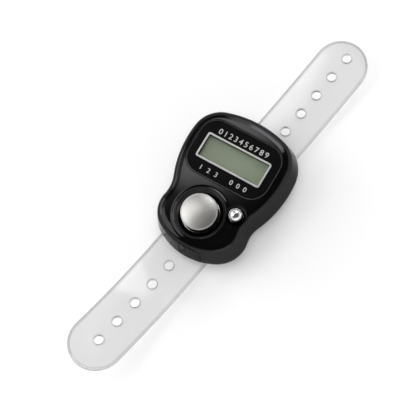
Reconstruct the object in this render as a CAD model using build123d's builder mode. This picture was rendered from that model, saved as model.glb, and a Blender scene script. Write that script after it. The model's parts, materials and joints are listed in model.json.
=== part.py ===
"""Digital tasbih counter: a finger counter with a display, two buttons and a clear holed strap.

Millimetres. The origin is the middle of the flat underside of the strap bridge, which the
counter rests on. +Z is up through the display, +Y runs towards the display end of the case,
and +X is to the right of someone reading the display.
"""

import os
from math import cos, degrees, radians, sin, sqrt

from build123d import *

# Case outline, seen from above: a broad display end, a waist and a narrower button end
body_length = 38.9
body_width = 30.4
crown_radius = 30.0
shoulder_radius = 9.0
side_radius = 29.0
widest_y = 7.4
lobe_width = 24.8
lobe_corner_radius = 7.9
heel_radius = 17.0
waist_radius = 7.0

# Case walls
wall = 1.6
roof = 1.8
flank_lean = 1.4
roof_lean = 0.8
rim_run = 3.4
rim_drop = 0.5
top_round = 2.0
cavity_round = 0.5
cover_height = 2.8
cover_floor = 1.6
cover_round = 2.0
parting_round = 0.2
lip_height = 1.2
lip_thickness = 0.9
fit_gap = 0.1
root_depth = 0.45

# Strap bridge under the rear cover
bridge_thickness = 1.2
bridge_length = 7.0
bridge_post = 1.4
bridge_round = 0.5
slot_width = 19.4
slot_height = 2.0

# Strap
strap_width = 14.5
strap_thickness = 1.4
strap_angle = 10.1
strap_offset_x = 1.1
strap_offset_y = -0.45
bend_reach = 21.0
bend_gap = 0.2
upper_reach = 53.2
lower_reach = 56.7
upper_curl_radius = 247.0
lower_curl_radius = 100.0
first_hole_reach = 23.2
hole_pitch = 6.4
hole_count = 5
hole_radius = 1.2

# Label and display
label_width = 23.0
label_height = 15.0
label_y = 6.8
label_corner = 4.6
label_thickness = 0.25
label_recess = 0.4
recess_chamfer = 0.15
display_y = 6.6
trim_width = 18.4
trim_height = 7.0
trim_line = 0.45
trim_thickness = 0.35
trim_corner = 0.6
window_corner = 0.25
lens_margin = 0.6
lens_thickness = 0.8
lcd_width = 19.6
lcd_height = 8.6
lcd_thickness = 1.3
rib_thickness = 0.8
rib_grip = 0.7
reflector_inset = 1.0
reflector_gap = 0.4
reflector_thickness = 0.2
zebra_inset = 0.5
zebra_depth = 1.3
zebra_height = 1.2

# Count button, on the centre line, set in from the button end
count_inset = 10.15
count_radius = 4.6
count_clearance = 0.25
count_flange = 1.0
count_flange_height = 0.8
count_rim_rise = 1.5
count_dome_rise = 0.55
count_step = 0.35
count_step_height = 0.15
count_rim_round = 0.12
collar_rise = 0.6
collar_mouth_radius = 5.9
collar_crest = 0.25
collar_crest_round = 0.1
collar_skirt = 1.5
collar_hollow = 0.35
collar_mouth_depth = 1.1

# Reset button, to the right of the count button and in from the side of the case
button_spacing = 8.766
reset_inset = 3.755
reset_radius = 1.6
reset_clearance = 0.15
reset_flange = 0.4
reset_flange_height = 0.7
reset_rim_rise = 0.8
reset_dome_rise = 0.8
reset_step = 0.15
reset_step_height = 0.15
reset_rim_round = 0.06
reset_mouth_radius = 2.7
reset_mouth_depth = 0.8
reset_crest = 0.15
reset_ring_depth = 3.2
reset_relief = 0.3

# Board and what it carries
board_thickness = 0.8
board_gap = 0.4
dome_lip_height = 0.4
count_dome_base = 3.8
count_dome_top = 2.2
reset_dome_base = 2.0
reset_dome_top = 1.2
chip_radius = 2.6
chip_height = 0.7
capacitor_size = (2.0, 1.25, 0.9)
capacitor_x = -6.0
capacitor_y = -4.0
resistor_size = (1.6, 0.8, 0.5)
resistor_x = -6.0
resistor_y = -7.0

# Coin cell and its contacts
cell_radius = 5.8
cell_height = 3.05
cell_rim = 0.5
cell_step = 0.25
cell_y = 6.6
cell_clearance = 0.2
cell_rib_thickness = 0.8
cell_rib_height = 1.5
contact_thickness = 0.2
contact_width = 3.0
contact_notch_gap = 0.2
plus_tail = 4.0
leaf_length = 8.0
leaf_thickness = 0.25

# Screws
post_radius = 1.7
post_margin = 3.15
upper_post_angle = 79.4
lower_post_angle = -62.0
screw_radius = 0.75
screw_length = 5.5
screw_head_radius = 1.5
screw_head_height = 0.8
screw_recess = 1.0
screw_clearance = 0.15
thread_gap = 0.02
cross_width = 0.35
cross_length = 1.8
cross_depth = 0.4
board_post_radius = 1.3
board_post_margin = 2.9
board_screw_radius = 0.5
board_screw_grip = 1.8
board_screw_head_radius = 1.0
board_screw_head_height = 0.6

# Levels that follow from the sizes above
cover_z = bridge_thickness + slot_height
floor_z = cover_z + cover_floor
parting_z = cover_z + cover_height
cell_z = floor_z + contact_thickness
leaf_z = cell_z + cell_height
board_z = leaf_z + leaf_thickness
board_top_z = board_z + board_thickness
lcd_z = board_top_z + zebra_height
roof_z = lcd_z + lcd_thickness
top_z = roof_z + roof
rim_z = top_z - rim_drop
label_z = top_z - label_recess
collar_z = top_z + collar_rise
flange_z = roof_z - fit_gap
strap_z = bridge_thickness + slot_height / 2
screw_seat_z = cover_z + screw_recess
screw_tip_z = screw_seat_z + screw_length
board_screw_tip_z = board_top_z + board_screw_grip

window_width = trim_width - 2 * trim_line
window_height = trim_height - 2 * trim_line
lens_width = window_width + 2 * lens_margin
lens_height = window_height + 2 * lens_margin
zebra_length = lcd_width - 2 * zebra_inset
zebra_y = lcd_height / 2 - zebra_depth / 2
reflector_width = lcd_width - 2 * reflector_inset
reflector_height = lcd_height - 2 * zebra_depth - 2 * reflector_gap
rib_depth = lcd_thickness + rib_grip

os.makedirs("parts", exist_ok=True)


def crossing(centre_a, radius_a, centre_b, radius_b):
    """The right-hand point where two circles cross."""
    span = centre_b - centre_a
    along = (radius_a**2 - radius_b**2 + span.length**2) / (2 * span.length)
    across = sqrt(radius_a**2 - along**2)
    unit = span.normalized()
    side = Vector(-unit.Y, unit.X)
    foot = centre_a + unit * along
    return max(foot + side * across, foot - side * across, key=lambda point: point.X)


def arc_about(centre, start, end):
    """The shorter arc about a centre, drawn from start to end."""
    radius = (start - centre).length
    middle = centre + ((start - centre) + (end - centre)).normalized() * radius
    ThreePointArc(start, middle, end)


# Centres of the arcs on the right-hand side of the case outline
top = Vector(0, body_length / 2)
heel = Vector(0, -body_length / 2)
crown_centre = Vector(0, top.Y - crown_radius)
side_centre = Vector(body_width / 2 - side_radius, widest_y)
heel_centre = Vector(0, heel.Y + heel_radius)
corner_x = lobe_width / 2 - lobe_corner_radius
corner_drop = sqrt((heel_radius - lobe_corner_radius) ** 2 - corner_x**2)
corner_centre = Vector(corner_x, heel_centre.Y - corner_drop)
shoulder_centre = crossing(
    crown_centre, crown_radius - shoulder_radius, side_centre, side_radius - shoulder_radius
)
waist_centre = crossing(
    side_centre, side_radius + waist_radius, corner_centre, lobe_corner_radius + waist_radius
)


def outline_face(inset):
    """The case outline, drawn inwards by an inset, as six tangent arcs and their mirror image."""

    def tangent_point(centre, radius, towards):
        return centre + (towards - centre).normalized() * (radius - inset)

    crown_end = tangent_point(crown_centre, crown_radius, shoulder_centre)
    shoulder_end = tangent_point(side_centre, side_radius, shoulder_centre)
    side_end = tangent_point(side_centre, side_radius, waist_centre)
    waist_end = tangent_point(corner_centre, lobe_corner_radius, waist_centre)
    corner_end = tangent_point(heel_centre, heel_radius, corner_centre)
    with BuildSketch() as profile:
        with BuildLine():
            arc_about(crown_centre, top - Vector(0, inset), crown_end)
            arc_about(shoulder_centre, crown_end, shoulder_end)
            arc_about(side_centre, shoulder_end, side_end)
            arc_about(waist_centre, side_end, waist_end)
            arc_about(corner_centre, waist_end, corner_end)
            arc_about(heel_centre, corner_end, heel + Vector(0, inset))
            mirror(about=Plane.YZ)
        make_face()
    return profile.sketch


def section_plane(x, y):
    """An upright plane through (x, y): its x is the radius and its y is the height."""
    return Plane(origin=(x, y, 0), x_dir=(1, 0, 0), z_dir=(0, -1, 0))


def upright_axis(x, y):
    return Axis((x, y, 0), (0, 0, 1))


def cap_arc(radius, base_z, rise):
    """Half of a shallow round cap, from its edge up to its crown on the axis."""
    sphere_radius = (radius**2 + rise**2) / (2 * rise)
    half_way = radius / 2
    fall = sphere_radius - sqrt(sphere_radius**2 - half_way**2)
    ThreePointArc((radius, base_z), (half_way, base_z + rise - fall), (0, base_z + rise))


def post_pair(centre, radius, angle):
    """A screw post beside one arc of the case outline, and its mirror image."""
    reach = radius - post_margin
    x = centre.X + reach * cos(radians(angle))
    y = centre.Y + reach * sin(radians(angle))
    return [(x, y), (-x, y)]


upper_posts = post_pair(crown_centre, crown_radius, upper_post_angle)
lower_posts = post_pair(corner_centre, lobe_corner_radius, lower_post_angle)
case_posts = upper_posts + lower_posts
board_post_y = body_length / 2 - board_post_margin
board_posts = [(0, board_post_y), (0, -board_post_y)]

count_centre = heel + Vector(0, count_inset)
count_y = count_centre.Y
reset_centre = crossing(count_centre, button_spacing, side_centre, side_radius - reset_inset)
reset_x = reset_centre.X
reset_y = reset_centre.Y

# The hollow inside the front shell, with room for the flange of the reset button
with BuildPart() as cavity:
    with BuildSketch(Plane.XY.offset(parting_z)):
        add(outline_face(wall))
    extrude(amount=board_top_z + fit_gap - parting_z)
    with BuildSketch(Plane.XY.offset(board_top_z + fit_gap)):
        add(outline_face(wall))
    with BuildSketch(Plane.XY.offset(roof_z)):
        add(outline_face(wall + roof_lean))
    loft(ruled=True)
    fillet(cavity.faces().sort_by(Axis.Z)[-1].edges(), radius=cavity_round)
    with BuildSketch(Plane.XY.offset(board_top_z)):
        with Locations((reset_x, reset_y)):
            Circle(reset_radius + reset_flange + reset_relief)
    extrude(amount=roof_z - board_top_z)

# Front shell: moulded black upper case with the collar, label recess, openings, ribs and posts
with BuildPart() as front_shell:
    with BuildSketch(Plane.XY.offset(parting_z)):
        add(outline_face(0))
    with BuildSketch(Plane.XY.offset(rim_z)):
        add(outline_face(flank_lean))
    loft(ruled=True)
    with BuildSketch(Plane.XY.offset(rim_z)):
        add(outline_face(flank_lean))
    with BuildSketch(Plane.XY.offset(top_z)):
        add(outline_face(rim_run))
    loft(ruled=True)
    fillet(front_shell.edges().filter_by_position(Axis.Z, rim_z, rim_z), radius=top_round)
    fillet(front_shell.faces().sort_by(Axis.Z)[0].edges(), radius=parting_round)
    # Collar with a hollow skirt that runs out into the top of the case
    with BuildSketch(section_plane(0, count_y)):
        with BuildLine():
            crest_out = collar_mouth_radius + collar_crest
            skirt_end = crest_out + collar_skirt
            Polyline(
                (skirt_end, top_z),
                (skirt_end, top_z - root_depth),
                (count_radius, top_z - root_depth),
                (count_radius, collar_z),
                (crest_out, collar_z),
            )
            skirt_middle = (crest_out + collar_skirt * collar_hollow, top_z + collar_rise * collar_hollow)
            ThreePointArc((crest_out, collar_z), skirt_middle, (skirt_end, top_z))
        make_face()
    revolve(axis=upright_axis(0, count_y))
    # Ring round the reset hole, which stands out where the rim and the flank fall away
    with BuildSketch(Plane.XY.offset(top_z - reset_ring_depth)):
        with Locations((reset_x, reset_y)):
            Circle(reset_mouth_radius + reset_crest)
    extrude(amount=reset_ring_depth)
    add(cavity.part, mode=Mode.SUBTRACT)
    # Ribs that hold the display panel, and the posts for the case and board screws
    with BuildSketch(Plane.XY.offset(roof_z - rib_depth)):
        with Locations((0, display_y)):
            Rectangle(lcd_width + 2 * (fit_gap + rib_thickness), lcd_height + 2 * (fit_gap + rib_thickness))
            Rectangle(lcd_width + 2 * fit_gap, lcd_height + 2 * fit_gap, mode=Mode.SUBTRACT)
    extrude(amount=rib_depth + root_depth)
    with BuildSketch(Plane.XY.offset(floor_z + fit_gap)):
        with Locations(*case_posts):
            Circle(post_radius)
    extrude(amount=roof_z - floor_z - fit_gap + root_depth)
    with BuildSketch(Plane.XY.offset(board_top_z)):
        with Locations(*board_posts):
            Circle(board_post_radius)
    extrude(amount=roof_z - board_top_z + root_depth)
    with BuildSketch(Plane.XY.offset(floor_z)):
        with Locations(*case_posts):
            Circle(screw_radius + thread_gap)
    extrude(amount=screw_tip_z - floor_z + fit_gap, mode=Mode.SUBTRACT)
    with BuildSketch(Plane.XY.offset(board_top_z)):
        with Locations(*board_posts):
            Circle(board_screw_radius + thread_gap)
    extrude(amount=board_screw_grip + fit_gap, mode=Mode.SUBTRACT)
    # Label recess, display opening and the ledge for the lens
    with BuildSketch(Plane.XY.offset(label_z)):
        with Locations((0, label_y)):
            RectangleRounded(label_width + 2 * fit_gap, label_height + 2 * fit_gap, label_corner + fit_gap)
    extrude(amount=label_recess, mode=Mode.SUBTRACT)
    with BuildSketch(Plane.XY.offset(top_z - recess_chamfer)):
        with Locations((0, label_y)):
            RectangleRounded(label_width + 2 * fit_gap, label_height + 2 * fit_gap, label_corner + fit_gap)
    extrude(amount=2 * recess_chamfer, taper=-45, mode=Mode.SUBTRACT)
    with BuildSketch(Plane.XY.offset(roof_z)):
        with Locations((0, display_y)):
            RectangleRounded(window_width, window_height, window_corner)
    extrude(amount=roof, mode=Mode.SUBTRACT)
    with BuildSketch(Plane.XY.offset(roof_z)):
        with Locations((0, display_y)):
            Rectangle(lens_width + 2 * fit_gap, lens_height + 2 * fit_gap)
    extrude(amount=lens_thickness, mode=Mode.SUBTRACT)
    # Flared mouths and guide holes of the two buttons
    with BuildSketch(section_plane(0, count_y)):
        with BuildLine():
            count_hole = count_radius + count_clearance
            Polyline(
                (0, roof_z),
                (count_hole, roof_z),
                (count_hole, collar_z - collar_mouth_depth),
                (collar_mouth_radius, collar_z),
                (0, collar_z),
                close=True,
            )
        make_face()
    revolve(axis=upright_axis(0, count_y), mode=Mode.SUBTRACT)
    fillet(front_shell.edges().filter_by_position(Axis.Z, collar_z, collar_z), radius=collar_crest_round)
    with BuildSketch(section_plane(reset_x, reset_y)):
        with BuildLine():
            reset_hole = reset_radius + reset_clearance
            Polyline(
                (0, roof_z),
                (reset_hole, roof_z),
                (reset_hole, top_z - reset_mouth_depth),
                (reset_mouth_radius, top_z),
                (reset_mouth_radius, collar_z),
                (0, collar_z),
                close=True,
            )
        make_face()
    revolve(axis=upright_axis(reset_x, reset_y), mode=Mode.SUBTRACT)
front_shell.part.label = "front_shell"
export_step(front_shell.part, "parts/front_shell.step")

# Rear cover: shallow tray with a locating lip, the cell's ring and the strap bridge
with BuildPart() as rear_cover:
    with BuildSketch(Plane.XY.offset(cover_z)):
        add(outline_face(0))
    extrude(amount=cover_height)
    fillet(rear_cover.faces().sort_by(Axis.Z)[0].edges(), radius=cover_round)
    fillet(rear_cover.faces().sort_by(Axis.Z)[-1].edges(), radius=parting_round)
    with BuildSketch(Plane.XY.offset(parting_z)):
        add(outline_face(wall + fit_gap))
    extrude(amount=lip_height)
    with BuildSketch(Plane.XY.offset(floor_z)):
        add(outline_face(wall + fit_gap + lip_thickness))
    extrude(amount=cover_height + lip_height, mode=Mode.SUBTRACT)
    with BuildSketch(Plane.XY.offset(floor_z)):
        with Locations((0, cell_y)):
            Circle(cell_radius + cell_clearance + cell_rib_thickness)
            Circle(cell_radius + cell_clearance, mode=Mode.SUBTRACT)
        with Locations((cell_radius + cell_clearance, cell_y)):
            notch_depth = 2 * (cell_rib_thickness + contact_notch_gap)
            Rectangle(notch_depth, contact_width + 2 * contact_notch_gap, mode=Mode.SUBTRACT)
    extrude(amount=cell_rib_height)
    # Bridge: a flat plate on two side walls, with the strap slot between it and the cover
    with BuildSketch(Plane.XY):
        Rectangle(slot_width + 2 * bridge_post, bridge_length)
    extrude(amount=cover_z + root_depth)
    bridge_edges = rear_cover.faces().sort_by(Axis.Z)[0].edges()
    fillet(bridge_edges, radius=bridge_round)
    with BuildSketch(Plane.XY.offset(bridge_thickness)):
        Rectangle(slot_width, bridge_length + 2 * bridge_round)
    extrude(amount=slot_height, mode=Mode.SUBTRACT)
    # Seats of the case screws, and the room that the posts need in the lip
    with BuildSketch(Plane.XY.offset(cover_z)):
        with Locations(*case_posts):
            Circle(screw_head_radius + screw_clearance)
    extrude(amount=screw_recess, mode=Mode.SUBTRACT)
    with BuildSketch(Plane.XY.offset(cover_z)):
        with Locations(*case_posts):
            Circle(screw_radius + screw_clearance)
    extrude(amount=cover_floor, mode=Mode.SUBTRACT)
    with BuildSketch(Plane.XY.offset(floor_z)):
        with Locations(*case_posts):
            Circle(post_radius + fit_gap)
    extrude(amount=cover_height + lip_height, mode=Mode.SUBTRACT)
rear_cover.part.label = "rear_cover"
export_step(rear_cover.part, "parts/rear_cover.step")

# Label plate: thin panel in the recess, cut out round the trim
with BuildPart() as label_plate:
    with BuildSketch(Plane.XY.offset(label_z)):
        with Locations((0, label_y)):
            RectangleRounded(label_width, label_height, label_corner)
        with Locations((0, display_y)):
            RectangleRounded(
                trim_width + fit_gap, trim_height + fit_gap, trim_corner + fit_gap / 2, mode=Mode.SUBTRACT
            )
    extrude(amount=label_thickness)
label_plate.part.label = "label_plate"
export_step(label_plate.part, "parts/label_plate.step")

# Display trim: silver frame on the edge of the opening
with BuildPart() as display_trim:
    with BuildSketch(Plane.XY.offset(label_z)):
        with Locations((0, display_y)):
            RectangleRounded(trim_width, trim_height, trim_corner)
            RectangleRounded(window_width, window_height, window_corner, mode=Mode.SUBTRACT)
    extrude(amount=trim_thickness)
display_trim.part.label = "display_trim"
export_step(display_trim.part, "parts/display_trim.step")

# Display window: clear lens on the ledge under the opening
with BuildPart() as display_window:
    with BuildSketch(Plane.XY.offset(roof_z)):
        with Locations((0, display_y)):
            Rectangle(lens_width, lens_height)
    extrude(amount=lens_thickness)
display_window.part.label = "display_window"
export_step(display_window.part, "parts/display_window.step")

# Liquid crystal panel between the ribs, pressed up against the roof and the lens
with BuildPart() as lcd_panel:
    with BuildSketch(Plane.XY.offset(lcd_z)):
        with Locations((0, display_y)):
            Rectangle(lcd_width, lcd_height)
    extrude(amount=lcd_thickness)
lcd_panel.part.label = "lcd_panel"
export_step(lcd_panel.part, "parts/lcd_panel.step")

# Reflecting film on the back of the panel
with BuildPart() as lcd_reflector:
    with BuildSketch(Plane.XY.offset(lcd_z - reflector_thickness)):
        with Locations((0, display_y)):
            Rectangle(reflector_width, reflector_height)
    extrude(amount=reflector_thickness)
lcd_reflector.part.label = "lcd_reflector"
export_step(lcd_reflector.part, "parts/lcd_reflector.step")


def make_zebra_strip(side, name):
    """Elastomer strip that joins the contacts on one edge of the panel to the board."""
    with BuildPart() as strip:
        with BuildSketch(Plane.XY.offset(board_top_z)):
            with Locations((0, display_y + side * zebra_y)):
                Rectangle(zebra_length, zebra_depth)
        extrude(amount=zebra_height)
    strip.part.label = name
    export_step(strip.part, f"parts/{name}.step")


make_zebra_strip(1, "zebra_strip_upper")
make_zebra_strip(-1, "zebra_strip_lower")

# Circuit board, notched round the case posts and drilled for its own screws
with BuildPart() as circuit_board:
    with BuildSketch(Plane.XY.offset(board_z)):
        add(outline_face(wall + board_gap))
        with Locations(*case_posts):
            Circle(post_radius + board_gap, mode=Mode.SUBTRACT)
        with Locations(*board_posts):
            Circle(board_screw_radius + fit_gap, mode=Mode.SUBTRACT)
    extrude(amount=board_thickness)
circuit_board.part.label = "circuit_board"
export_step(circuit_board.part, "parts/circuit_board.step")

# Controller chip under its drop of black resin
with BuildPart() as controller_chip:
    with BuildSketch(section_plane(0, display_y)):
        with BuildLine():
            Polyline((0, board_top_z + chip_height), (0, board_top_z), (chip_radius, board_top_z))
            cap_arc(chip_radius, board_top_z, chip_height)
        make_face()
    revolve(axis=upright_axis(0, display_y))
controller_chip.part.label = "controller_chip"
export_step(controller_chip.part, "parts/controller_chip.step")


def make_chip_part(x, y, size, name):
    """Small chip component soldered under the board."""
    with BuildPart() as chip:
        with BuildSketch(Plane.XY.offset(board_z - size[2])):
            with Locations((x, y)):
                Rectangle(size[0], size[1])
        extrude(amount=size[2])
    chip.part.label = name
    export_step(chip.part, f"parts/{name}.step")


make_chip_part(capacitor_x, capacitor_y, capacitor_size, "chip_capacitor")
make_chip_part(resistor_x, resistor_y, resistor_size, "chip_resistor")

# Coin cell: a can with a smaller cap on its upper face
with BuildPart() as coin_cell:
    with BuildSketch(Plane.XY.offset(cell_z)):
        with Locations((0, cell_y)):
            Circle(cell_radius)
    extrude(amount=cell_height - cell_step)
    with BuildSketch(Plane.XY.offset(cell_z + cell_height - cell_step)):
        with Locations((0, cell_y)):
            Circle(cell_radius - cell_rim)
    extrude(amount=cell_step)
coin_cell.part.label = "coin_cell"
export_step(coin_cell.part, "parts/coin_cell.step")

# Plus contact: a strip under the cell with a leg that stands up to the board
with BuildPart() as battery_contact_plus:
    leg_x = cell_radius + cell_clearance
    with BuildSketch(Plane.XY.offset(floor_z)):
        with Locations(((leg_x + contact_thickness - plus_tail) / 2, cell_y)):
            Rectangle(leg_x + contact_thickness + plus_tail, contact_width)
    extrude(amount=contact_thickness)
    with BuildSketch(Plane.XY.offset(floor_z)):
        with Locations((leg_x + contact_thickness / 2, cell_y)):
            Rectangle(contact_thickness, contact_width)
    extrude(amount=board_z - floor_z)
battery_contact_plus.part.label = "battery_contact_plus"
export_step(battery_contact_plus.part, "parts/battery_contact_plus.step")

# Minus contact: leaf between the board and the cap of the cell
with BuildPart() as battery_contact_minus:
    with BuildSketch(Plane.XY.offset(leaf_z)):
        with Locations((0, cell_y)):
            Rectangle(leaf_length, contact_width)
    extrude(amount=leaf_thickness)
battery_contact_minus.part.label = "battery_contact_minus"
export_step(battery_contact_minus.part, "parts/battery_contact_minus.step")


def make_button(x, y, radius, flange, flange_height, rim_z, rim_round, step, step_height, dome_rise, name):
    """Domed button with a flange that keeps it in the case."""
    with BuildPart() as button:
        with BuildSketch(section_plane(x, y)):
            dome_radius = radius - step
            dome_z = rim_z + step_height
            with BuildLine():
                Polyline(
                    (0, dome_z + dome_rise),
                    (0, flange_z - flange_height),
                    (radius + flange, flange_z - flange_height),
                    (radius + flange, flange_z),
                    (radius, flange_z),
                    (radius, rim_z),
                    (dome_radius, rim_z),
                    (dome_radius, dome_z),
                )
                cap_arc(dome_radius, dome_z, dome_rise)
            make_face()
        revolve(axis=upright_axis(x, y))
        rim_edge = button.edges().filter_by_position(Axis.Z, rim_z, rim_z).sort_by(SortBy.LENGTH)[-1]
        fillet(rim_edge, radius=rim_round)
    button.part.label = name
    export_step(button.part, f"parts/{name}.step")


make_button(
    0,
    count_y,
    count_radius,
    count_flange,
    count_flange_height,
    collar_z + count_rim_rise,
    count_rim_round,
    count_step,
    count_step_height,
    count_dome_rise,
    "count_button",
)
make_button(
    reset_x,
    reset_y,
    reset_radius,
    reset_flange,
    reset_flange_height,
    top_z + reset_rim_rise,
    reset_rim_round,
    reset_step,
    reset_step_height,
    reset_dome_rise,
    "reset_button",
)


def make_rubber_dome(x, y, base, top, flange_height, name):
    """Rubber switch dome between the board and the underside of a button."""
    crown_z = flange_z - flange_height
    with BuildPart() as dome:
        with BuildSketch(section_plane(x, y)):
            with BuildLine():
                Polyline(
                    (0, board_top_z),
                    (base, board_top_z),
                    (base, board_top_z + dome_lip_height),
                    (top, crown_z),
                    (0, crown_z),
                    close=True,
                )
            make_face()
        revolve(axis=upright_axis(x, y))
    dome.part.label = name
    export_step(dome.part, f"parts/{name}.step")


make_rubber_dome(0, count_y, count_dome_base, count_dome_top, count_flange_height, "count_dome")
make_rubber_dome(reset_x, reset_y, reset_dome_base, reset_dome_top, reset_flange_height, "reset_dome")

# Case screws: four cross-headed screws driven up from the back
with BuildPart() as case_screws:
    with BuildSketch(Plane.XY.offset(screw_seat_z - screw_head_height)):
        with Locations(*case_posts):
            Circle(screw_head_radius)
    extrude(amount=screw_head_height)
    with BuildSketch(Plane.XY.offset(screw_seat_z)):
        with Locations(*case_posts):
            Circle(screw_radius)
    extrude(amount=screw_length)
    with BuildSketch(Plane.XY.offset(screw_seat_z - screw_head_height)):
        with Locations(*case_posts):
            Rectangle(cross_length, cross_width)
            Rectangle(cross_width, cross_length)
    extrude(amount=cross_depth, mode=Mode.SUBTRACT)
case_screws.part.label = "case_screws"
export_step(case_screws.part, "parts/case_screws.step")

# Board screws: two small screws that clamp the board to its posts
with BuildPart() as board_screws:
    with BuildSketch(Plane.XY.offset(board_z - board_screw_head_height)):
        with Locations(*board_posts):
            Circle(board_screw_head_radius)
    extrude(amount=board_screw_head_height)
    with BuildSketch(Plane.XY.offset(board_z)):
        with Locations(*board_posts):
            Circle(board_screw_radius)
    extrude(amount=board_screw_tip_z - board_z)
board_screws.part.label = "board_screws"
export_step(board_screws.part, "parts/board_screws.step")

# Strap: local x runs across it, local y along it towards the display end
strap_origin = (strap_offset_x, strap_offset_y, strap_z)
strap_across = Vector(cos(radians(strap_angle)), -sin(radians(strap_angle)), 0)
strap_plane = Plane(origin=strap_origin, x_dir=strap_across, z_dir=(0, 0, 1))
reversed_plane = Plane(origin=strap_origin, x_dir=-strap_across, z_dir=(0, 0, 1))

# Middle of the strap, threaded through the bridge
with BuildPart() as strap_middle:
    with BuildSketch(strap_plane.offset(-strap_thickness / 2)):
        Rectangle(strap_width, 2 * bend_reach - strap_thickness - 2 * bend_gap)
    extrude(amount=strap_thickness)
strap_middle.part.label = "strap_middle"
export_step(strap_middle.part, "parts/strap_middle.step")


def make_tail(plane, reach, curl_radius, name):
    """Free end of the strap: curls gently upwards, with a round end and a row of holes.

    Its root is round about the line that it bends on, just outside the case.
    """
    half = strap_thickness / 2
    turn = (reach - bend_reach) / curl_radius
    side_plane = Plane(origin=plane.origin, x_dir=plane.y_dir, z_dir=plane.x_dir)

    def on_band(offset, angle):
        radius = curl_radius - offset
        return (bend_reach + radius * sin(angle), curl_radius - radius * cos(angle))

    tip_y = on_band(0, turn)[0]
    with BuildPart() as tail:
        with BuildSketch(side_plane):
            with BuildLine():
                ThreePointArc(on_band(-half, 0), (bend_reach - half, 0), on_band(half, 0))
                ThreePointArc(on_band(half, 0), on_band(half, turn / 2), on_band(half, turn))
                Line(on_band(half, turn), on_band(-half, turn))
                ThreePointArc(on_band(-half, turn), on_band(-half, turn / 2), on_band(-half, 0))
            make_face()
        extrude(amount=strap_width / 2, both=True)
        with BuildSketch(plane.offset(-strap_thickness)):
            with Locations((0, (tip_y - strap_width) / 2)):
                SlotOverall(tip_y + strap_width, strap_width, rotation=90)
        extrude(amount=curl_radius, mode=Mode.INTERSECT)
        for hole in range(hole_count):
            angle = (first_hole_reach + hole * hole_pitch - bend_reach) / curl_radius
            along, up = on_band(0, angle)
            with Locations(plane.location * Location((0, along, up), (degrees(angle), 0, 0))):
                Cylinder(hole_radius, 2 * strap_thickness, mode=Mode.SUBTRACT)
    tail.part.label = name
    export_step(tail.part, f"parts/{name}.step")


make_tail(strap_plane, upper_reach, upper_curl_radius, "strap_tail_upper")
make_tail(reversed_plane, lower_reach, lower_curl_radius, "strap_tail_lower")
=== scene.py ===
import json
import math

import bmesh
import bpy
from mathutils import Euler, Matrix, Vector
from mathutils.geometry import delaunay_2d_cdt


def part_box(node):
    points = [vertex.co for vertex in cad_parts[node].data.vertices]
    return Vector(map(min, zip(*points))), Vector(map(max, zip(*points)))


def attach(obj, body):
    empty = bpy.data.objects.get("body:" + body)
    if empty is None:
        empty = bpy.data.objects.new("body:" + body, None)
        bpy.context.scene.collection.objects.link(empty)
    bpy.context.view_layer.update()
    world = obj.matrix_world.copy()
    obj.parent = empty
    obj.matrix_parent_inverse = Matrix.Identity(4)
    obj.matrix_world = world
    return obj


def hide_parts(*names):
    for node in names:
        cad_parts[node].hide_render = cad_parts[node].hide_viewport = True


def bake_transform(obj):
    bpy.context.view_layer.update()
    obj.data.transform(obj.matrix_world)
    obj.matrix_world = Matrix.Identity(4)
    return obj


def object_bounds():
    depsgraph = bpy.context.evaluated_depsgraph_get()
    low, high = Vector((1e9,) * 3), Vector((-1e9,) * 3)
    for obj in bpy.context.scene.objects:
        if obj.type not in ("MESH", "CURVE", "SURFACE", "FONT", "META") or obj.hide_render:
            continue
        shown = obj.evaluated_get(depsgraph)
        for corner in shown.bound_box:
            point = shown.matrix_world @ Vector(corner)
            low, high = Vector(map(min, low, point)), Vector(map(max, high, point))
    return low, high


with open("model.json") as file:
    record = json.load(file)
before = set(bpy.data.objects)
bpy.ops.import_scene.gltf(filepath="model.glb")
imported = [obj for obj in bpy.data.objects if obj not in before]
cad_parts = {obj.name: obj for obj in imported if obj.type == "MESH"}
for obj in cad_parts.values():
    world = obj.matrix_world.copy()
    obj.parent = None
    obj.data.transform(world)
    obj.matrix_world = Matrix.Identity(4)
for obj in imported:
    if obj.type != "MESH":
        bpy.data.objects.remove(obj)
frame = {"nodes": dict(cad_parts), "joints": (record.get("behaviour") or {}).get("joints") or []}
cad_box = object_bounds()

# Case: the rear cover with its strap bridge and the front shell with its collar and label recess.
# Both are injection moulded in gloss black plastic, and they meet on a fine groove round the side.
# The mould leaves a faint orange peel, and handling leaves slightly hazier patches and a little dust.
nodes = frame["nodes"]
mm = 0.001


def add_node(tree, kind, inputs=None, **settings):
    """A shader node with its settings and the values of its unlinked inputs."""
    node = tree.nodes.new("ShaderNode" + kind)
    for name, value in settings.items():
        setattr(node, name, value)
    for name, value in (inputs or {}).items():
        node.inputs[name].default_value = value
    return node


def new_group(name, inputs, outputs):
    """A shader node group with named sockets, and its input and output nodes."""
    group = bpy.data.node_groups.new(name, "ShaderNodeTree")
    for socket_name, value in inputs.items():
        socket = group.interface.new_socket(socket_name, in_out="INPUT", socket_type="NodeSocketFloat")
        socket.default_value = value
    for socket_name in outputs:
        group.interface.new_socket(socket_name, in_out="OUTPUT", socket_type="NodeSocketFloat")
    return group, group.nodes.new("NodeGroupInput"), group.nodes.new("NodeGroupOutput")


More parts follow.
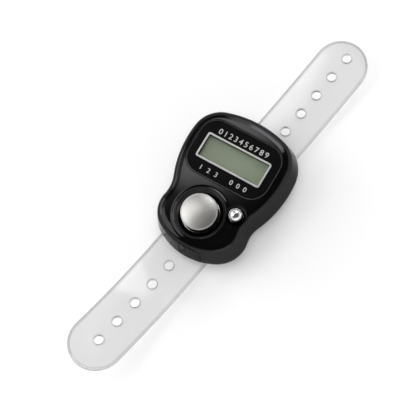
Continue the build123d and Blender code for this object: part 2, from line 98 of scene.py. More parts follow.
def make_mould_skin():
    """Roughness that drifts in patches, and the fine height of a moulded or cast skin."""
    group, given, result = new_group(
        "mould_skin",
        {"Roughness": 0.2, "Drift": 0.05, "Patches per metre": 150.0, "Grains per metre": 3000.0},
        ["Roughness", "Height"],
    )
    place = add_node(group, "TexCoord")
    patches = add_node(group, "TexNoise", {"Detail": 3.0})
    grains = add_node(group, "TexNoise", {"Detail": 2.0})
    signed = add_node(group, "MapRange", {"From Min": 0.3, "From Max": 0.7, "To Min": -1.0, "To Max": 1.0})
    drift = add_node(group, "Math", operation="MULTIPLY")
    total = add_node(group, "Math", operation="ADD")
    links = group.links
    links.new(place.outputs["Object"], patches.inputs["Vector"])
    links.new(place.outputs["Object"], grains.inputs["Vector"])
    links.new(given.outputs["Patches per metre"], patches.inputs["Scale"])
    links.new(given.outputs["Grains per metre"], grains.inputs["Scale"])
    links.new(patches.outputs["Fac"], signed.inputs["Value"])
    links.new(signed.outputs["Result"], drift.inputs[0])
    links.new(given.outputs["Drift"], drift.inputs[1])
    links.new(drift.outputs["Value"], total.inputs[0])
    links.new(given.outputs["Roughness"], total.inputs[1])
    links.new(total.outputs["Value"], result.inputs["Roughness"])
    links.new(grains.outputs["Fac"], result.inputs["Height"])
    return group


def make_dust():
    """Mask of sparse specks of dust."""
    edge_sharpness = 8.0
    clean_share = 0.72
    group, given, result = new_group("dust", {"Specks per metre": 900.0, "Speck size": 0.12}, ["Mask"])
    place = add_node(group, "TexCoord")
    cells = add_node(group, "TexVoronoi", {"Randomness": 1.0})
    nearness = add_node(group, "Math", operation="SUBTRACT")
    bright = add_node(group, "Math", {1: edge_sharpness}, operation="MULTIPLY", use_clamp=True)
    chosen = add_node(group, "Math", {1: clean_share}, operation="GREATER_THAN")
    mask = add_node(group, "Math", operation="MULTIPLY")
    split = add_node(group, "SeparateColor")
    links = group.links
    links.new(place.outputs["Object"], cells.inputs["Vector"])
    links.new(given.outputs["Specks per metre"], cells.inputs["Scale"])
    links.new(given.outputs["Speck size"], nearness.inputs[0])
    links.new(cells.outputs["Distance"], nearness.inputs[1])
    links.new(nearness.outputs["Value"], bright.inputs[0])
    links.new(cells.outputs["Color"], split.inputs["Color"])
    links.new(split.outputs["Red"], chosen.inputs[0])
    links.new(bright.outputs["Value"], mask.inputs[0])
    links.new(chosen.outputs["Value"], mask.inputs[1])
    links.new(mask.outputs["Value"], result.inputs["Mask"])
    return group


mould_skin = make_mould_skin()
dust = make_dust()


def new_material(name, **sockets):
    """A material with one Principled BSDF, its constant sockets set, and its tree and shader."""
    material = bpy.data.materials.new(name)
    material.use_nodes = True
    tree = material.node_tree
    shader = tree.nodes["Principled BSDF"]
    for socket, value in sockets.items():
        shader.inputs[socket.replace("_", " ")].default_value = value
    return material, tree, shader


def place_group(tree, group, **values):
    """A node group in a material, with its own values."""
    node = tree.nodes.new("ShaderNodeGroup")
    node.node_tree = group
    for name, value in values.items():
        node.inputs[name.replace("_", " ")].default_value = value
    return node


def add_bump(tree, shader, height, strength, depth):
    """Bump from a height output."""
    bump = add_node(tree, "Bump", {"Strength": strength, "Distance": depth})
    tree.links.new(height, bump.inputs["Height"])
    tree.links.new(bump.outputs["Normal"], shader.inputs["Normal"])


def add_skin(tree, shader, strength, depth, **values):
    """Drifting roughness and fine height from the mould skin group."""
    skin = place_group(tree, mould_skin, **values)
    tree.links.new(skin.outputs["Roughness"], shader.inputs["Roughness"])
    add_bump(tree, shader, skin.outputs["Height"], strength, depth)
    return skin


def add_two_tones(tree, shader, mask, first, second):
    """Base colour that goes from the first tone to the second with a mask."""
    mix = add_node(tree, "Mix", data_type="RGBA")
    first_tone, second_tone = [socket for socket in mix.inputs if socket.type == "RGBA"]
    first_tone.default_value = (*first, 1.0)
    second_tone.default_value = (*second, 1.0)
    tree.links.new(mask, mix.inputs[0])
    colour = [socket for socket in mix.outputs if socket.type == "RGBA"][0]
    tree.links.new(colour, shader.inputs["Base Color"])


def dress(material, *names):
    """Give CAD nodes a material in place of the plain one."""
    for name in names:
        slots = nodes[name].material_slots
        if not slots:
            nodes[name].data.materials.append(material)
        for slot in slots:
            slot.material = material


def make_case_black():
    """Black gloss, set as a dark mirror with an edge tint, so that the steep flanks stay dark."""
    edge_tint = (0.55, 0.55, 0.55, 1.0)
    material, tree, shader = new_material("case_black", Metallic=1.0, Specular_Tint=edge_tint)
    add_skin(
        tree, shader, strength=0.03, depth=0.02 * mm, Roughness=0.08, Drift=0.02, Grains_per_metre=2200.0
    )
    specks = place_group(tree, dust, Specks_per_metre=700.0)
    add_two_tones(tree, shader, specks.outputs["Mask"], (0.03, 0.03, 0.031), (0.06, 0.06, 0.06))
    return material


dress(make_case_black(), "rear_cover", "front_shell")

# Coin cell, its two contacts and the screws: nickel plated steel, pressed, stamped or turned.
# Drawing and turning leave fine hairlines, and the plating is a little uneven.


def make_hairlines():
    """Mask of fine straight hairlines."""
    line_stretch = (0.02, 1.0, 0.02)
    group, given, result = new_group("hairlines", {"Lines per metre": 9000.0, "Turn": 0.5}, ["Mask"])
    place = add_node(group, "TexCoord")
    turn = add_node(group, "VectorRotate", rotation_type="Z_AXIS")
    stretch = add_node(group, "VectorMath", {1: line_stretch}, operation="MULTIPLY")
    lines = add_node(group, "TexNoise", {"Detail": 1.0})
    mask = add_node(group, "MapRange", {"From Min": 0.5, "From Max": 0.72})
    links = group.links
    links.new(place.outputs["Object"], turn.inputs["Vector"])
    links.new(given.outputs["Turn"], turn.inputs["Angle"])
    links.new(turn.outputs["Vector"], stretch.inputs[0])
    links.new(stretch.outputs["Vector"], lines.inputs["Vector"])
    links.new(given.outputs["Lines per metre"], lines.inputs["Scale"])
    links.new(lines.outputs["Fac"], mask.inputs["Value"])
    links.new(mask.outputs["Result"], result.inputs["Mask"])
    return group


hairlines = make_hairlines()


def make_plated(name, colour, worn_colour, roughness, turn):
    """Plated metal with hairlines."""
    material, tree, shader = new_material(name, Metallic=1.0)
    skin = place_group(tree, mould_skin, Roughness=roughness, Drift=0.05, Grains_per_metre=5000.0)
    tree.links.new(skin.outputs["Roughness"], shader.inputs["Roughness"])
    lines = place_group(tree, hairlines, Turn=turn)
    add_two_tones(tree, shader, lines.outputs["Mask"], colour, worn_colour)
    add_bump(tree, shader, lines.outputs["Mask"], strength=0.1, depth=0.004 * mm)
    return material


cell_steel = make_plated("cell_steel", (0.62, 0.62, 0.61), (0.5, 0.5, 0.5), roughness=0.28, turn=0.4)
contact_nickel = make_plated("contact_nickel", (0.6, 0.58, 0.53), (0.5, 0.48, 0.44), roughness=0.3, turn=1.57)
screw_steel = make_plated("screw_steel", (0.42, 0.42, 0.42), (0.3, 0.3, 0.3), roughness=0.32, turn=0.9)
dress(cell_steel, "coin_cell")
dress(contact_nickel, "battery_contact_plus", "battery_contact_minus")
dress(screw_steel, "case_screws", "board_screws")

# Circuit board: green glass-fibre laminate with copper tracks under the solder mask.
# The controller is a bare chip under a drop of black resin, beside two soldered chip parts.
# A rubber dome under each button closes a contact on the board.


def make_board_laminate():
    material, tree, shader = new_material("board_laminate", IOR=1.5)
    add_skin(
        tree, shader, strength=0.1, depth=0.01 * mm, Roughness=0.35, Drift=0.06, Grains_per_metre=6000.0
    )
    place = add_node(tree, "TexCoord")
    tracks = add_node(tree, "TexBrick", {"Scale": 500.0, "Mortar Size": 0.03, "Mortar Smooth": 0.1})
    tree.links.new(place.outputs["Object"], tracks.inputs["Vector"])
    add_two_tones(tree, shader, tracks.outputs["Fac"], (0.012, 0.11, 0.035), (0.05, 0.24, 0.08))
    return material


def make_moulded(name, colour, shade, roughness, grains):
    """Matt moulded or fired material with a mottled colour."""
    material, tree, shader = new_material(name)
    skin = add_skin(
        tree, shader, strength=0.2, depth=0.01 * mm, Roughness=roughness, Drift=0.08, Grains_per_metre=grains
    )
    add_two_tones(tree, shader, skin.outputs["Height"], colour, shade)
    return material


chip_resin = make_moulded(
    "chip_resin", (0.012, 0.012, 0.012), (0.03, 0.03, 0.03), roughness=0.4, grains=2500.0
)
chip_ceramic = make_moulded(
    "chip_ceramic", (0.42, 0.32, 0.2), (0.55, 0.44, 0.3), roughness=0.55, grains=6000.0
)
dome_rubber = make_moulded(
    "dome_rubber", (0.42, 0.42, 0.41), (0.5, 0.5, 0.49), roughness=0.65, grains=3500.0
)
dress(make_board_laminate(), "circuit_board")
dress(chip_resin, "controller_chip", "chip_resistor")
dress(chip_ceramic, "chip_capacitor")
dress(dome_rubber, "count_dome", "reset_dome")

# Display: a liquid crystal panel with a grey-green polariser, backed by a reflecting film.
# Two striped elastomer strips press on its edges and carry its signals up from the board.


def make_zebra_rubber():
    material, tree, shader = new_material("zebra_rubber", Roughness=0.6)
    place = add_node(tree, "TexCoord")
    layers = add_node(tree, "TexWave", {"Scale": 2000.0, "Distortion": 0.2}, bands_direction="X")
    tree.links.new(place.outputs["Object"], layers.inputs["Vector"])
    add_two_tones(tree, shader, layers.outputs["Fac"], (0.03, 0.03, 0.03), (0.5, 0.42, 0.42))
    return material


def make_lcd_glass():
    material, tree, shader = new_material("lcd_glass", Specular_IOR_Level=0.15)
    # Painted shade: the grey-green is painted darker towards the panel's upper left, where the recess wall
    # shades it, and lighter towards its lower right, with a fine random grain added.
    painted_shade_slope_per_metre = (40.0, -60.0, 0.0)
    place = add_node(tree, "TexCoord")
    painted_shade_slope = add_node(tree, "VectorMath", {1: painted_shade_slope_per_metre}, operation="DOT_PRODUCT")
    grain = place_group(tree, mould_skin, Roughness=0.3, Drift=0.04, Patches_per_metre=250.0)
    grain_and_painted_shade = add_node(tree, "Math", operation="ADD", use_clamp=True)
    tree.links.new(place.outputs["Object"], painted_shade_slope.inputs[0])
    tree.links.new(painted_shade_slope.outputs["Value"], grain_and_painted_shade.inputs[0])
    tree.links.new(grain.outputs["Height"], grain_and_painted_shade.inputs[1])
    tree.links.new(grain.outputs["Roughness"], shader.inputs["Roughness"])
    add_two_tones(tree, shader, grain_and_painted_shade.outputs["Value"], (0.148, 0.17, 0.12), (0.167, 0.193, 0.138))
    return material


reflector_film = make_plated("reflector_film", (0.6, 0.62, 0.56), (0.55, 0.57, 0.52), roughness=0.4, turn=0.0)
dress(make_lcd_glass(), "lcd_panel")
dress(reflector_film, "lcd_reflector")
dress(make_zebra_rubber(), "zebra_strip_upper", "zebra_strip_lower")

# Display window: a clear acrylic lens on the ledge under the opening.
# Light on its way to the panel passes straight through it.


def make_clear(name, colour, shadow_colour, ior, roughness, grains, strength):
    """Clear plastic: it refracts what is seen through it, and lets light through to what is behind it."""
    material, tree, shader = new_material(name, Transmission_Weight=1.0, IOR=ior)
    skin = add_skin(
        tree, shader, strength, depth=0.02 * mm, Roughness=roughness, Drift=0.01, Grains_per_metre=grains
    )
    faint_shade = tuple(0.99 * part for part in colour)
    add_two_tones(tree, shader, skin.outputs["Height"], colour, faint_shade)
    rays = add_node(tree, "LightPath")
    through = add_node(tree, "BsdfTransparent", {"Color": (*shadow_colour, 1.0)})
    choice = add_node(tree, "MixShader")
    output = tree.nodes["Material Output"]
    tree.links.new(rays.outputs["Is Shadow Ray"], choice.inputs[0])
    tree.links.new(shader.outputs["BSDF"], choice.inputs[1])
    tree.links.new(through.outputs["BSDF"], choice.inputs[2])
    tree.links.new(choice.outputs["Shader"], output.inputs["Surface"])
    return material


window_clear = make_clear(
    "window_clear",
    colour=(0.98, 0.985, 0.98),
    shadow_colour=(0.97, 0.98, 0.97),
    ior=1.15,
    roughness=0.02,
    grains=400.0,
    strength=0.02,
)
window_gap = 0.03 * mm
window_chamfer = 0.12 * mm


def bridge(mesh, first, second, material_index=0):
    """Faces between two loops of the same count."""
    count = len(first)
    for k in range(count):
        after = (k + 1) % count
        face = mesh.faces.new((first[k], first[after], second[after], second[k]))
        face.material_index = material_index


def add_piece(name, mesh, *materials):
    """A piece from a finished mesh, with its faces turned outwards and its materials in order."""
    bmesh.ops.recalc_face_normals(mesh, faces=mesh.faces)
    data = bpy.data.meshes.new(name)
    mesh.to_mesh(data)
    mesh.free()
    for material in materials:
        data.materials.append(material)
    piece = bpy.data.objects.new(name, data)
    bpy.context.scene.collection.objects.link(piece)
    return piece


def make_window():
    """The lens as a slab with polished chamfers, a hair above the panel."""
    low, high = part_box("display_window")
    levels = [
        (low.z + window_gap, window_chamfer),
        (low.z + window_gap + window_chamfer, 0.0),
        (high.z - window_chamfer, 0.0),
        (high.z, window_chamfer),
    ]
    mesh = bmesh.new()
    rings = []
    for height, inset in levels:
        left, right = low.x + inset, high.x - inset
        front, back = low.y + inset, high.y - inset
        corners = [(left, front), (right, front), (right, back), (left, back)]
        rings.append([mesh.verts.new((x, y, height)) for x, y in corners])
    for lower, upper in zip(rings, rings[1:]):
        bridge(mesh, lower, upper)
    mesh.faces.new(rings[0])
    mesh.faces.new(rings[-1])
    piece = add_piece("window_lens", mesh, window_clear)
    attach(piece, "case")
    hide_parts("display_window")


make_window()

# Label plate: a thin black panel in the recess, with a silver frame line round the opening.
# The print is white ink: a row of figures over the display, and a sign for each button under it.


def make_label_black():
    material, tree, shader = new_material("label_black", Specular_IOR_Level=0.06)
    add_skin(
        tree, shader, strength=0.05, depth=0.01 * mm, Roughness=0.3, Drift=0.05, Grains_per_metre=4000.0
    )
    specks = place_group(tree, dust, Specks_per_metre=800.0)
    add_two_tones(tree, shader, specks.outputs["Mask"], (0.002, 0.002, 0.002), (0.02, 0.02, 0.02))
    return material


def make_ink():
    material, tree, shader = new_material("white_ink")
    skin = add_skin(
        tree, shader, strength=0.2, depth=0.01 * mm, Roughness=0.5, Drift=0.08, Grains_per_metre=5000.0
    )
    add_two_tones(tree, shader, skin.outputs["Height"], (0.52, 0.52, 0.52), (0.64, 0.64, 0.63))
    return material


white_ink = make_ink()
label_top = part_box("label_plate")[1].z
ink_thickness = 0.02 * mm
figure_share_of_font_size = 0.69


def print_marks(name, text, centre_x, centre_y, height, spacing):
    """Flat printed figures on the label, as a thin mesh."""
    curve = bpy.data.curves.new(name, "FONT")
    curve.body = text
    curve.align_x = "CENTER"
    curve.align_y = "CENTER"
    curve.size = height / figure_share_of_font_size
    curve.space_character = spacing
    curve.extrude = ink_thickness / 2
    curve.resolution_u = 6
    outline = bpy.data.objects.new(name + "_outline", curve)
    bpy.context.scene.collection.objects.link(outline)
    bpy.context.view_layer.update()
    shown = outline.evaluated_get(bpy.context.evaluated_depsgraph_get())
    mesh = bpy.data.meshes.new_from_object(shown)
    bpy.data.objects.remove(outline)
    mesh.materials.clear()
    mesh.materials.append(white_ink)
    piece = bpy.data.objects.new(name, mesh)
    bpy.context.scene.collection.objects.link(piece)
    piece.location = (centre_x, centre_y, label_top + ink_thickness / 2)
    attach(piece, "case")


def rounded_loop(mesh, left, right, front, back, corner, height):
    """Corner points of a rounded rectangle, as a loop of vertices."""
    steps = 10
    loop = []
    for x, y, start in (
        (right - corner, back - corner, 0.0),
        (left + corner, back - corner, 0.5),
        (left + corner, front + corner, 1.0),
        (right - corner, front + corner, 1.5),
    ):
        for step in range(steps + 1):
            angle = math.pi * (start + 0.5 * step / steps)
            spot = (x + corner * math.cos(angle), y + corner * math.sin(angle), height)
            loop.append(mesh.verts.new(spot))
    return loop


def make_edge_highlight():
    # Painted highlight: the cut edge and its bevel are painted grey, paler than the black label, to show a
    # thin light line along the edge; the bevel also catches real light.
    material, tree, shader = new_material("film_edge_painted_highlight")
    skin = add_skin(
        tree, shader, strength=0.2, depth=0.01 * mm, Roughness=0.35, Drift=0.08, Grains_per_metre=5000.0
    )
    add_two_tones(tree, shader, skin.outputs["Height"], (0.06, 0.06, 0.06), (0.1, 0.1, 0.1))
    return material


def make_label_panel():
    """The label as a sheet of film with a bevelled cut edge, painted pale as a highlight, open round the
    display.
    """
    low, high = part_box("label_plate")
    trim_low, trim_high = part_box("display_trim")
    corner = 4.6 * mm
    edge_width = 0.16 * mm
    edge_height = 0.1 * mm
    opening_gap = 0.05 * mm
    opening_corner = 0.65 * mm
    mesh = bmesh.new()

    def outer(inset, height):
        left, right = low.x + inset, high.x - inset
        front, back = low.y + inset, high.y - inset
        return rounded_loop(mesh, left, right, front, back, corner - inset, height)

    def inner(height):
        left, right = trim_low.x - opening_gap, trim_high.x + opening_gap
        front, back = trim_low.y - opening_gap, trim_high.y + opening_gap
        return rounded_loop(mesh, left, right, front, back, opening_corner, height)

    under = outer(0.0, low.z)
    shoulder = outer(0.0, high.z - edge_height)
    top = outer(edge_width, high.z)
    opening_top, opening_under = inner(high.z), inner(low.z)
    bridge(mesh, under, shoulder, material_index=1)
    bridge(mesh, shoulder, top, material_index=1)
    bridge(mesh, top, opening_top)
    bridge(mesh, opening_top, opening_under)
    bridge(mesh, opening_under, under)
    piece = add_piece("label_panel", mesh, make_label_black(), make_edge_highlight())
    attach(piece, "case")
    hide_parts("label_plate")


make_label_panel()
trim_silver = make_plated("trim_silver", (0.7, 0.7, 0.69), (0.6, 0.6, 0.59), roughness=0.4, turn=0.3)
dress(trim_silver, "display_trim")
row_height = 1.45 * mm
sign_height = 1.25 * mm
print_marks("label_figures", "0123456789", 0.1 * mm, 11.45 * mm, row_height, spacing=1.41)
print_marks("count_sign", "123", -4.0 * mm, 1.05 * mm, sign_height, spacing=2.45)
print_marks("reset_sign", "000", 4.5 * mm, 1.15 * mm, sign_height, spacing=2.15)

# Buttons: moulded caps plated in satin silver and in bright chrome.
# Each slides in its hole in the front shell, over a rubber dome on the board.


def make_button_plating(name, colour, worn_colour, roughness, drift):
    material, tree, shader = new_material(name, Metallic=1.0)
    skin = add_skin(
        tree,
        shader,
        strength=0.02,
        depth=0.01 * mm,
        Roughness=roughness,
        Drift=drift,
        Patches_per_metre=400.0,
        Grains_per_metre=6000.0,
    )
    add_two_tones(tree, shader, skin.outputs["Height"], colour, worn_colour)
    return material


def rounded_corner(before, corner, after, radius):
    """Points that round one corner of a profile."""
    steps = 5
    start = corner + (before - corner).normalized() * radius
    end = corner + (after - corner).normalized() * radius
    points = []
    for step in range(steps + 1):
        part = step / steps
        points.append(start * (1 - part) ** 2 + corner * 2 * part * (1 - part) + end * part**2)
    return points


def turn_button(
    name, node, radius, rim_below, flange_height, step, step_height, round_radius, cap, wall
):
    """A button turned from its profile of dome, rim, wall and flange, with a finish for cap and wall."""
    low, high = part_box(node)
    centre = (low + high) / 2
    flange_radius = (high.x - low.x) / 2
    rim_z = high.z - rim_below
    dome_radius = radius - step
    dome_z = rim_z + step_height
    dome_rise = high.z - dome_z
    sphere = (dome_radius**2 + dome_rise**2) / (2 * dome_rise)
    flange_z = low.z + flange_height
    dome_rings = 24
    turns = 160
    sharp_angle = math.radians(30)
    profile = []
    for ring in range(1, dome_rings + 1):
        reach = dome_radius * ring / dome_rings
        profile.append(Vector((reach, high.z - sphere + math.sqrt(sphere**2 - reach**2))))
    profile.append(Vector((dome_radius, rim_z)))
    wall_top = Vector((radius, rim_z))
    profile += rounded_corner(profile[-1], wall_top, Vector((radius, flange_z)), round_radius)
    wall_start = len(profile) - 1
    profile += [
        Vector((radius, flange_z)),
        Vector((flange_radius, flange_z)),
        Vector((flange_radius, low.z)),
    ]
    mesh = bmesh.new()
    angles = [2 * math.pi * k / turns for k in range(turns)]
    rings = []
    for reach, height in profile:
        spots = [(centre.x + reach * math.cos(a), centre.y + reach * math.sin(a), height) for a in angles]
        rings.append([mesh.verts.new(spot) for spot in spots])
    crown = mesh.verts.new((centre.x, centre.y, high.z))
    for k in range(turns):
        mesh.faces.new((crown, rings[0][k], rings[0][(k + 1) % turns]))
    for ring, (upper, lower) in enumerate(zip(rings, rings[1:])):
        bridge(mesh, upper, lower, int(ring >= wall_start))
    mesh.faces.new(rings[-1]).material_index = 1
    for face in mesh.faces:
        face.smooth = True
    piece = add_piece(name, mesh, cap, wall)
    piece.data.set_sharp_from_angle(angle=sharp_angle)
    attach(piece, node)
    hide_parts(node)


button_silver = make_button_plating(
    "button_silver", (0.68, 0.67, 0.645), (0.63, 0.62, 0.595), roughness=0.38, drift=0.03
)
button_chrome = make_button_plating(
    "button_chrome", (0.9, 0.9, 0.89), (0.85, 0.85, 0.84), roughness=0.18, drift=0.02
)
turn_button(
    "count_cap",
    "count_button",
    radius=4.6 * mm,
    rim_below=0.7 * mm,
    flange_height=0.8 * mm,
    step=0.35 * mm,
    step_height=0.15 * mm,
    round_radius=0.12 * mm,
    cap=button_silver,
    wall=button_chrome,
)
turn_button(
    "reset_cap",
    "reset_button",
    radius=1.6 * mm,
    rim_below=0.95 * mm,
    flange_height=0.7 * mm,
    step=0.15 * mm,
    step_height=0.15 * mm,
    round_radius=0.06 * mm,
    cap=button_chrome,
    wall=button_chrome,
)

# Strap: one clear soft plastic band, stamped with five holes in each round end.
# It is threaded through the bridge, so it is made as two halves that meet out of sight inside it.
strap_width = 14.5 * mm
strap_thickness = 1.4 * mm
strap_edge = 0.5 * mm
hole_radius = 1.2 * mm
hole_edge = 0.18 * mm
first_hole = 23.2 * mm
hole_pitch = 6.4 * mm
hole_count = 5
edge_hold = 0.12 * mm
half_gap = 0.02 * mm
joints = {joint["name"]: joint for joint in frame["joints"]}
strap_centre = Vector(joints["strap_swing"]["pos_m"])
strap_clear = make_clear(
    "strap_clear",
    colour=(0.75, 0.75, 0.755),
    shadow_colour=(0.95, 0.95, 0.95),
    ior=1.42,
    roughness=0.04,
    grains=300.0,
    strength=0.1,
)
# The cut edges of the strap and its holes are a rougher surface, and their darker grey tint is painted shade
# for the dark lines that show along them.
strap_edge_painted_shade = make_clear(
    "strap_edge_painted_shade",
    colour=(0.5, 0.5, 0.51),
    shadow_colour=(0.85, 0.85, 0.85),
    ior=1.42,
    roughness=0.15,
    grains=2500.0,
    strength=0.2,
)


def edge_profile(radius):
    """Distance in from an edge and height of the strap's surface, from its top round to its underside."""
    steps = 4
    rounded = []
    for step in range(steps + 1):
        angle = math.pi / 2 * step / steps
        inset = radius * (1 - math.sin(angle))
        height = strap_thickness / 2 - radius * (1 - math.cos(angle))
        rounded.append((inset, height))
    top = [(radius + edge_hold, strap_thickness / 2)] + rounded
    return top + [(inset, -height) for inset, height in reversed(top)]


def circle(centre, radius, count):
    """Points of a hole, as across and along."""
    turn = 2 * math.pi / count
    return [(radius * math.cos(k * turn), centre + radius * math.sin(k * turn)) for k in range(count)]


def strap_outline(reach, inset):
    """One half of the strap from above, as across and along, with a round end."""
    side_steps = 48
    round_steps = 40
    half = strap_width / 2 - inset
    round_centre = reach - strap_width / 2
    start = half_gap + inset
    stations = [start + (round_centre - start) * k / side_steps for k in range(side_steps + 1)]
    left = [(-half, along) for along in stations]
    angles = [math.pi * k / round_steps for k in range(1, round_steps)]
    tip = [(-half * math.cos(angle), round_centre + half * math.sin(angle)) for angle in angles]
    right = [(half, along) for along in reversed(stations)]
    return left + tip + right


def make_strap_half(name, joint_name, reach, curl_radius):
    """A mesh of one half of the strap, curled upwards past the point where its tail bends."""
    hinge = Vector(joints[joint_name]["pos_m"])
    bend_reach = (hinge - strap_centre).length
    along_axis = (hinge - strap_centre) / bend_reach
    up_axis = Vector((0, 0, 1))
    across_axis = along_axis.cross(up_axis)

    def place(across, along, height):
        rise = height
        if along > bend_reach:
            angle = (along - bend_reach) / curl_radius
            radius = curl_radius - height
            along = bend_reach + radius * math.sin(angle)
            rise = curl_radius - radius * math.cos(angle)
        return strap_centre + across_axis * across + along_axis * along + up_axis * rise

    mesh = bmesh.new()
    outer_profile = edge_profile(strap_edge)
    hole_profile = edge_profile(hole_edge)
    holes = [first_hole + k * hole_pitch for k in range(hole_count)]
    hole_points = 36
    grid_step = 1.2 * mm
    clear = 0.9 * mm
    same_point = 1e-9
    merge_distance = 1e-7

    def loops_at(outer_inset, hole_inset):
        loops = [strap_outline(reach, outer_inset)]
        return loops + [circle(along, hole_radius + hole_inset, hole_points) for along in holes]

    rings = []
    for (outer_inset, outer_height), (hole_inset, hole_height) in zip(outer_profile, hole_profile):
        heights = [outer_height] + [hole_height] * hole_count
        ring = []
        for loop, height in zip(loops_at(outer_inset, hole_inset), heights):
            ring.append([mesh.verts.new(place(*point, height)) for point in loop])
        rings.append(ring)
    for upper, lower in zip(rings, rings[1:]):
        for upper_loop, lower_loop in zip(upper, lower):
            bridge(mesh, upper_loop, lower_loop, material_index=1)

    outer_inset = outer_profile[0][0]
    hole_inset = hole_profile[0][0]
    points = []
    edges = []
    for loop in loops_at(outer_inset, hole_inset):
        first = len(points)
        points += loop
        edges += [(first + k, first + (k + 1) % len(loop)) for k in range(len(loop))]
    half = strap_width / 2 - outer_inset - clear
    columns = int(2 * half / grid_step)
    rows = int((reach - 2 * clear) / grid_step)
    for row in range(rows + 1):
        along = clear + (reach - 2 * clear) * row / rows
        past = along - (reach - strap_width / 2)
        for column in range(columns + 1):
            across = -half + 2 * half * column / columns
            inside_tip = past < 0 or math.hypot(across, past) < half
            if inside_tip and all(math.hypot(across, along - hole) > hole_radius + clear for hole in holes):
                points.append((across, along))
    flat, _, triangles, *_ = delaunay_2d_cdt([Vector(point) for point in points], edges, [], 1, same_point)
    for height in (strap_thickness / 2, -strap_thickness / 2):
        skin = [mesh.verts.new(place(point.x, point.y, height)) for point in flat]
        for triangle in triangles:
            middle = sum((flat[k] for k in triangle), Vector((0, 0))) / 3
            if all(math.hypot(middle.x, middle.y - hole) > hole_radius + hole_inset for hole in holes):
                mesh.faces.new([skin[k] for k in triangle])
    bmesh.ops.remove_doubles(mesh, verts=mesh.verts, dist=merge_distance)
    loose = [vert for vert in mesh.verts if not vert.link_faces]
    bmesh.ops.delete(mesh, geom=loose, context="VERTS")
    for face in mesh.faces:
        face.smooth = True
    piece = add_piece(name, mesh, strap_clear, strap_edge_painted_shade)
    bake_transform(piece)
    return piece


strap_upper = make_strap_half(
    "strap_upper", "upper_tail_bend", reach=53.2 * mm, curl_radius=247.0 * mm
)
strap_lower = make_strap_half(
    "strap_lower", "lower_tail_bend", reach=56.7 * mm, curl_radius=100.0 * mm
)
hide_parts("strap_middle", "strap_tail_upper")
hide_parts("strap_tail_lower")

# Studio: a wide sheet of pale card on a table, with soft boxes round and above it.
# The room is dark overhead and paler near the horizon, with four lit reflectors for the gloss.
floor_size = 3.0
floor_drop = 0.02 * mm
near_lift, far_lift = 0.15, 0.42
near_reach, far_reach = 0.2, 0.8


def make_floor():
    """Pale card that keeps the shadow, with a faint glow that grows with distance, as on a lit backdrop."""
    material, tree, shader = new_material("pale_card", Specular_IOR_Level=0.1)
    skin = add_skin(
        tree, shader, strength=0.02, depth=0.05 * mm, Roughness=0.8, Drift=0.05, Grains_per_metre=900.0
    )
    add_two_tones(tree, shader, skin.outputs["Height"], (0.88, 0.88, 0.88), (0.9, 0.9, 0.9))
    rays = add_node(tree, "LightPath")
    either = add_node(tree, "Math", operation="MAXIMUM")
    seen = add_node(tree, "Math", operation="MAXIMUM")
    place = add_node(tree, "TexCoord")
    distance = add_node(tree, "VectorMath", operation="LENGTH")
    ramp = {"From Min": near_reach, "From Max": far_reach, "To Min": near_lift, "To Max": far_lift}
    paler = add_node(tree, "MapRange", ramp, interpolation_type="SMOOTHSTEP")
    lift = add_node(tree, "Math", operation="MULTIPLY")
    glow = add_node(tree, "Emission", {"Color": (1.0, 1.0, 1.0, 1.0)})
    total = add_node(tree, "AddShader")
    links = tree.links
    links.new(rays.outputs["Is Camera Ray"], either.inputs[0])
    links.new(rays.outputs["Is Glossy Ray"], either.inputs[1])
    links.new(either.outputs["Value"], seen.inputs[0])
    links.new(rays.outputs["Is Transmission Ray"], seen.inputs[1])
    links.new(place.outputs["Object"], distance.inputs[0])
    links.new(distance.outputs["Value"], paler.inputs["Value"])
    links.new(seen.outputs["Value"], lift.inputs[0])
    links.new(paler.outputs["Result"], lift.inputs[1])
    links.new(lift.outputs["Value"], glow.inputs["Strength"])
    links.new(shader.outputs["BSDF"], total.inputs[0])
    links.new(glow.outputs["Emission"], total.inputs[1])
    links.new(total.outputs["Shader"], tree.nodes["Material Output"].inputs["Surface"])
    return material


reach = floor_size / 2
floor_mesh = bpy.data.meshes.new("floor")
floor_corners = [(-reach, -reach, 0), (reach, -reach, 0), (reach, reach, 0), (-reach, reach, 0)]
floor_mesh.from_pydata(floor_corners, [], [(0, 1, 2, 3)])
floor_mesh.materials.append(make_floor())
floor = bpy.data.objects.new("floor", floor_mesh)
floor.location.z = cad_box[0].z - floor_drop
bpy.context.scene.collection.objects.link(floor)

# Directions on the floor as the camera sees them: to the right, and away from the camera
picture_right = Vector((0.858, 0.513, 0.0))
picture_away = Vector((-0.482, 0.876, 0.0))
light_target = Vector((0.0, 0.0, 0.008))


def as_seen(right, away, up):
    """A vector from its parts to the right in the picture, away from the camera and up."""
    return picture_right * right + picture_away * away + Vector((0, 0, up))


def add_softbox(name, place, length_along, length, width, radiance):
    """A rectangular soft box that faces the object, with its long side along a direction."""
    light = bpy.data.lights.new(name, "AREA")
    light.shape = "RECTANGLE"
    light.size = length
    light.size_y = width
    light.energy = radiance * math.pi * length * width
    box = bpy.data.objects.new(name, light)
    box.location = light_target + place
    back = place.normalized()
    side = (length_along - back * length_along.dot(back)).normalized()
    box.rotation_euler = Matrix((side, back.cross(side), back)).transposed().to_euler()
    bpy.context.scene.collection.objects.link(box)
    return box


across = as_seen(1, 0, 0)
away = as_seen(0, 1, 0)
tilted = as_seen(0.706, -0.645, 0.29)
add_softbox("left_softbox", as_seen(-0.5, 0.2, 0.26), away, length=0.3, width=0.2, radiance=2.2)
add_softbox("back_softbox", as_seen(0.145, 0.36, 0.43), tilted, length=0.22, width=0.13, radiance=2.8)
add_softbox("front_softbox", as_seen(0.16, -0.52, 0.22), across, length=0.5, width=0.3, radiance=0.6)

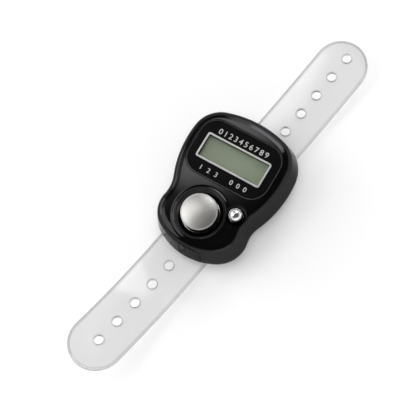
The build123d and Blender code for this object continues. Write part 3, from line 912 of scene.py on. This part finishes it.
# The overhead soft box is cross-polarised, so it lights the card without glare on gloss
overhead_place = as_seen(0.05, -0.05, 0.7)
overhead = add_softbox("overhead_softbox", overhead_place, across, length=0.5, width=0.5, radiance=2.35)
overhead.visible_glossy = False

world = bpy.data.worlds.new("room")
bpy.context.scene.world = world
world.use_nodes = True
room = world.node_tree
room_light = room.nodes["Background"]
room_light.inputs["Color"].default_value = (1.0, 1.0, 1.0, 1.0)
room_place = add_node(room, "TexCoord")


def add_room_light(direction, outer_angle, inner_angle, inner_level, outer_level=0.0):
    """Strength that changes smoothly from one level to another around a direction."""
    nearness = add_node(room, "VectorMath", {1: direction.normalized()}, operation="DOT_PRODUCT")
    ramp = {
        "From Min": math.cos(math.radians(outer_angle)),
        "From Max": math.cos(math.radians(inner_angle)),
        "To Min": outer_level,
        "To Max": inner_level,
    }
    strength = add_node(room, "MapRange", ramp, interpolation_type="SMOOTHSTEP")
    room.links.new(room_place.outputs["Generated"], nearness.inputs[0])
    room.links.new(nearness.outputs["Value"], strength.inputs["Value"])
    return strength.outputs["Result"]


room_up = as_seen(0, 0, 1)
ceiling = add_room_light(room_up, outer_angle=75, inner_angle=50, inner_level=0.1, outer_level=0.9)
case_glow = add_room_light(as_seen(-0.16, 0.368, 0.916), outer_angle=5.6, inner_angle=4.2, inner_level=3.0)
button_glow = add_room_light(as_seen(-0.42, 0.34, 0.83), outer_angle=15, inner_angle=7, inner_level=2.2)
collar_glow = add_room_light(as_seen(-0.67, 0.0, 0.68), outer_angle=20, inner_angle=17, inner_level=2.0)
skirt_glow = add_room_light(as_seen(0.24, 0.75, 0.62), outer_angle=17, inner_angle=14, inner_level=1.8)
room_total = ceiling
for glow in (case_glow, button_glow, collar_glow, skirt_glow):
    brighter = add_node(room, "Math", operation="MAXIMUM")
    room.links.new(room_total, brighter.inputs[0])
    room.links.new(glow, brighter.inputs[1])
    room_total = brighter.outputs["Value"]
room.links.new(room_total, room_light.inputs["Strength"])

# Camera: a short telephoto view from above, turned so that the strap runs across the picture.
# The lens is shifted a little to frame the counter.
camera_data = bpy.data.cameras.new("camera")
camera_data.sensor_width = 36.0
camera_data.lens = 70.97
camera_data.shift_x = -0.0505
camera_data.shift_y = -0.0366
camera_data.clip_start = 0.01
camera = bpy.data.objects.new("camera", camera_data)
camera.location = Vector((53.2, -37.77, 205.27)) * mm
camera.rotation_euler = Euler([math.radians(angle) for angle in (16.371, 7.117, 30.887)])
bpy.context.scene.collection.objects.link(camera)
bpy.context.scene.camera = camera
bpy.context.scene.view_settings.view_transform = "Standard"
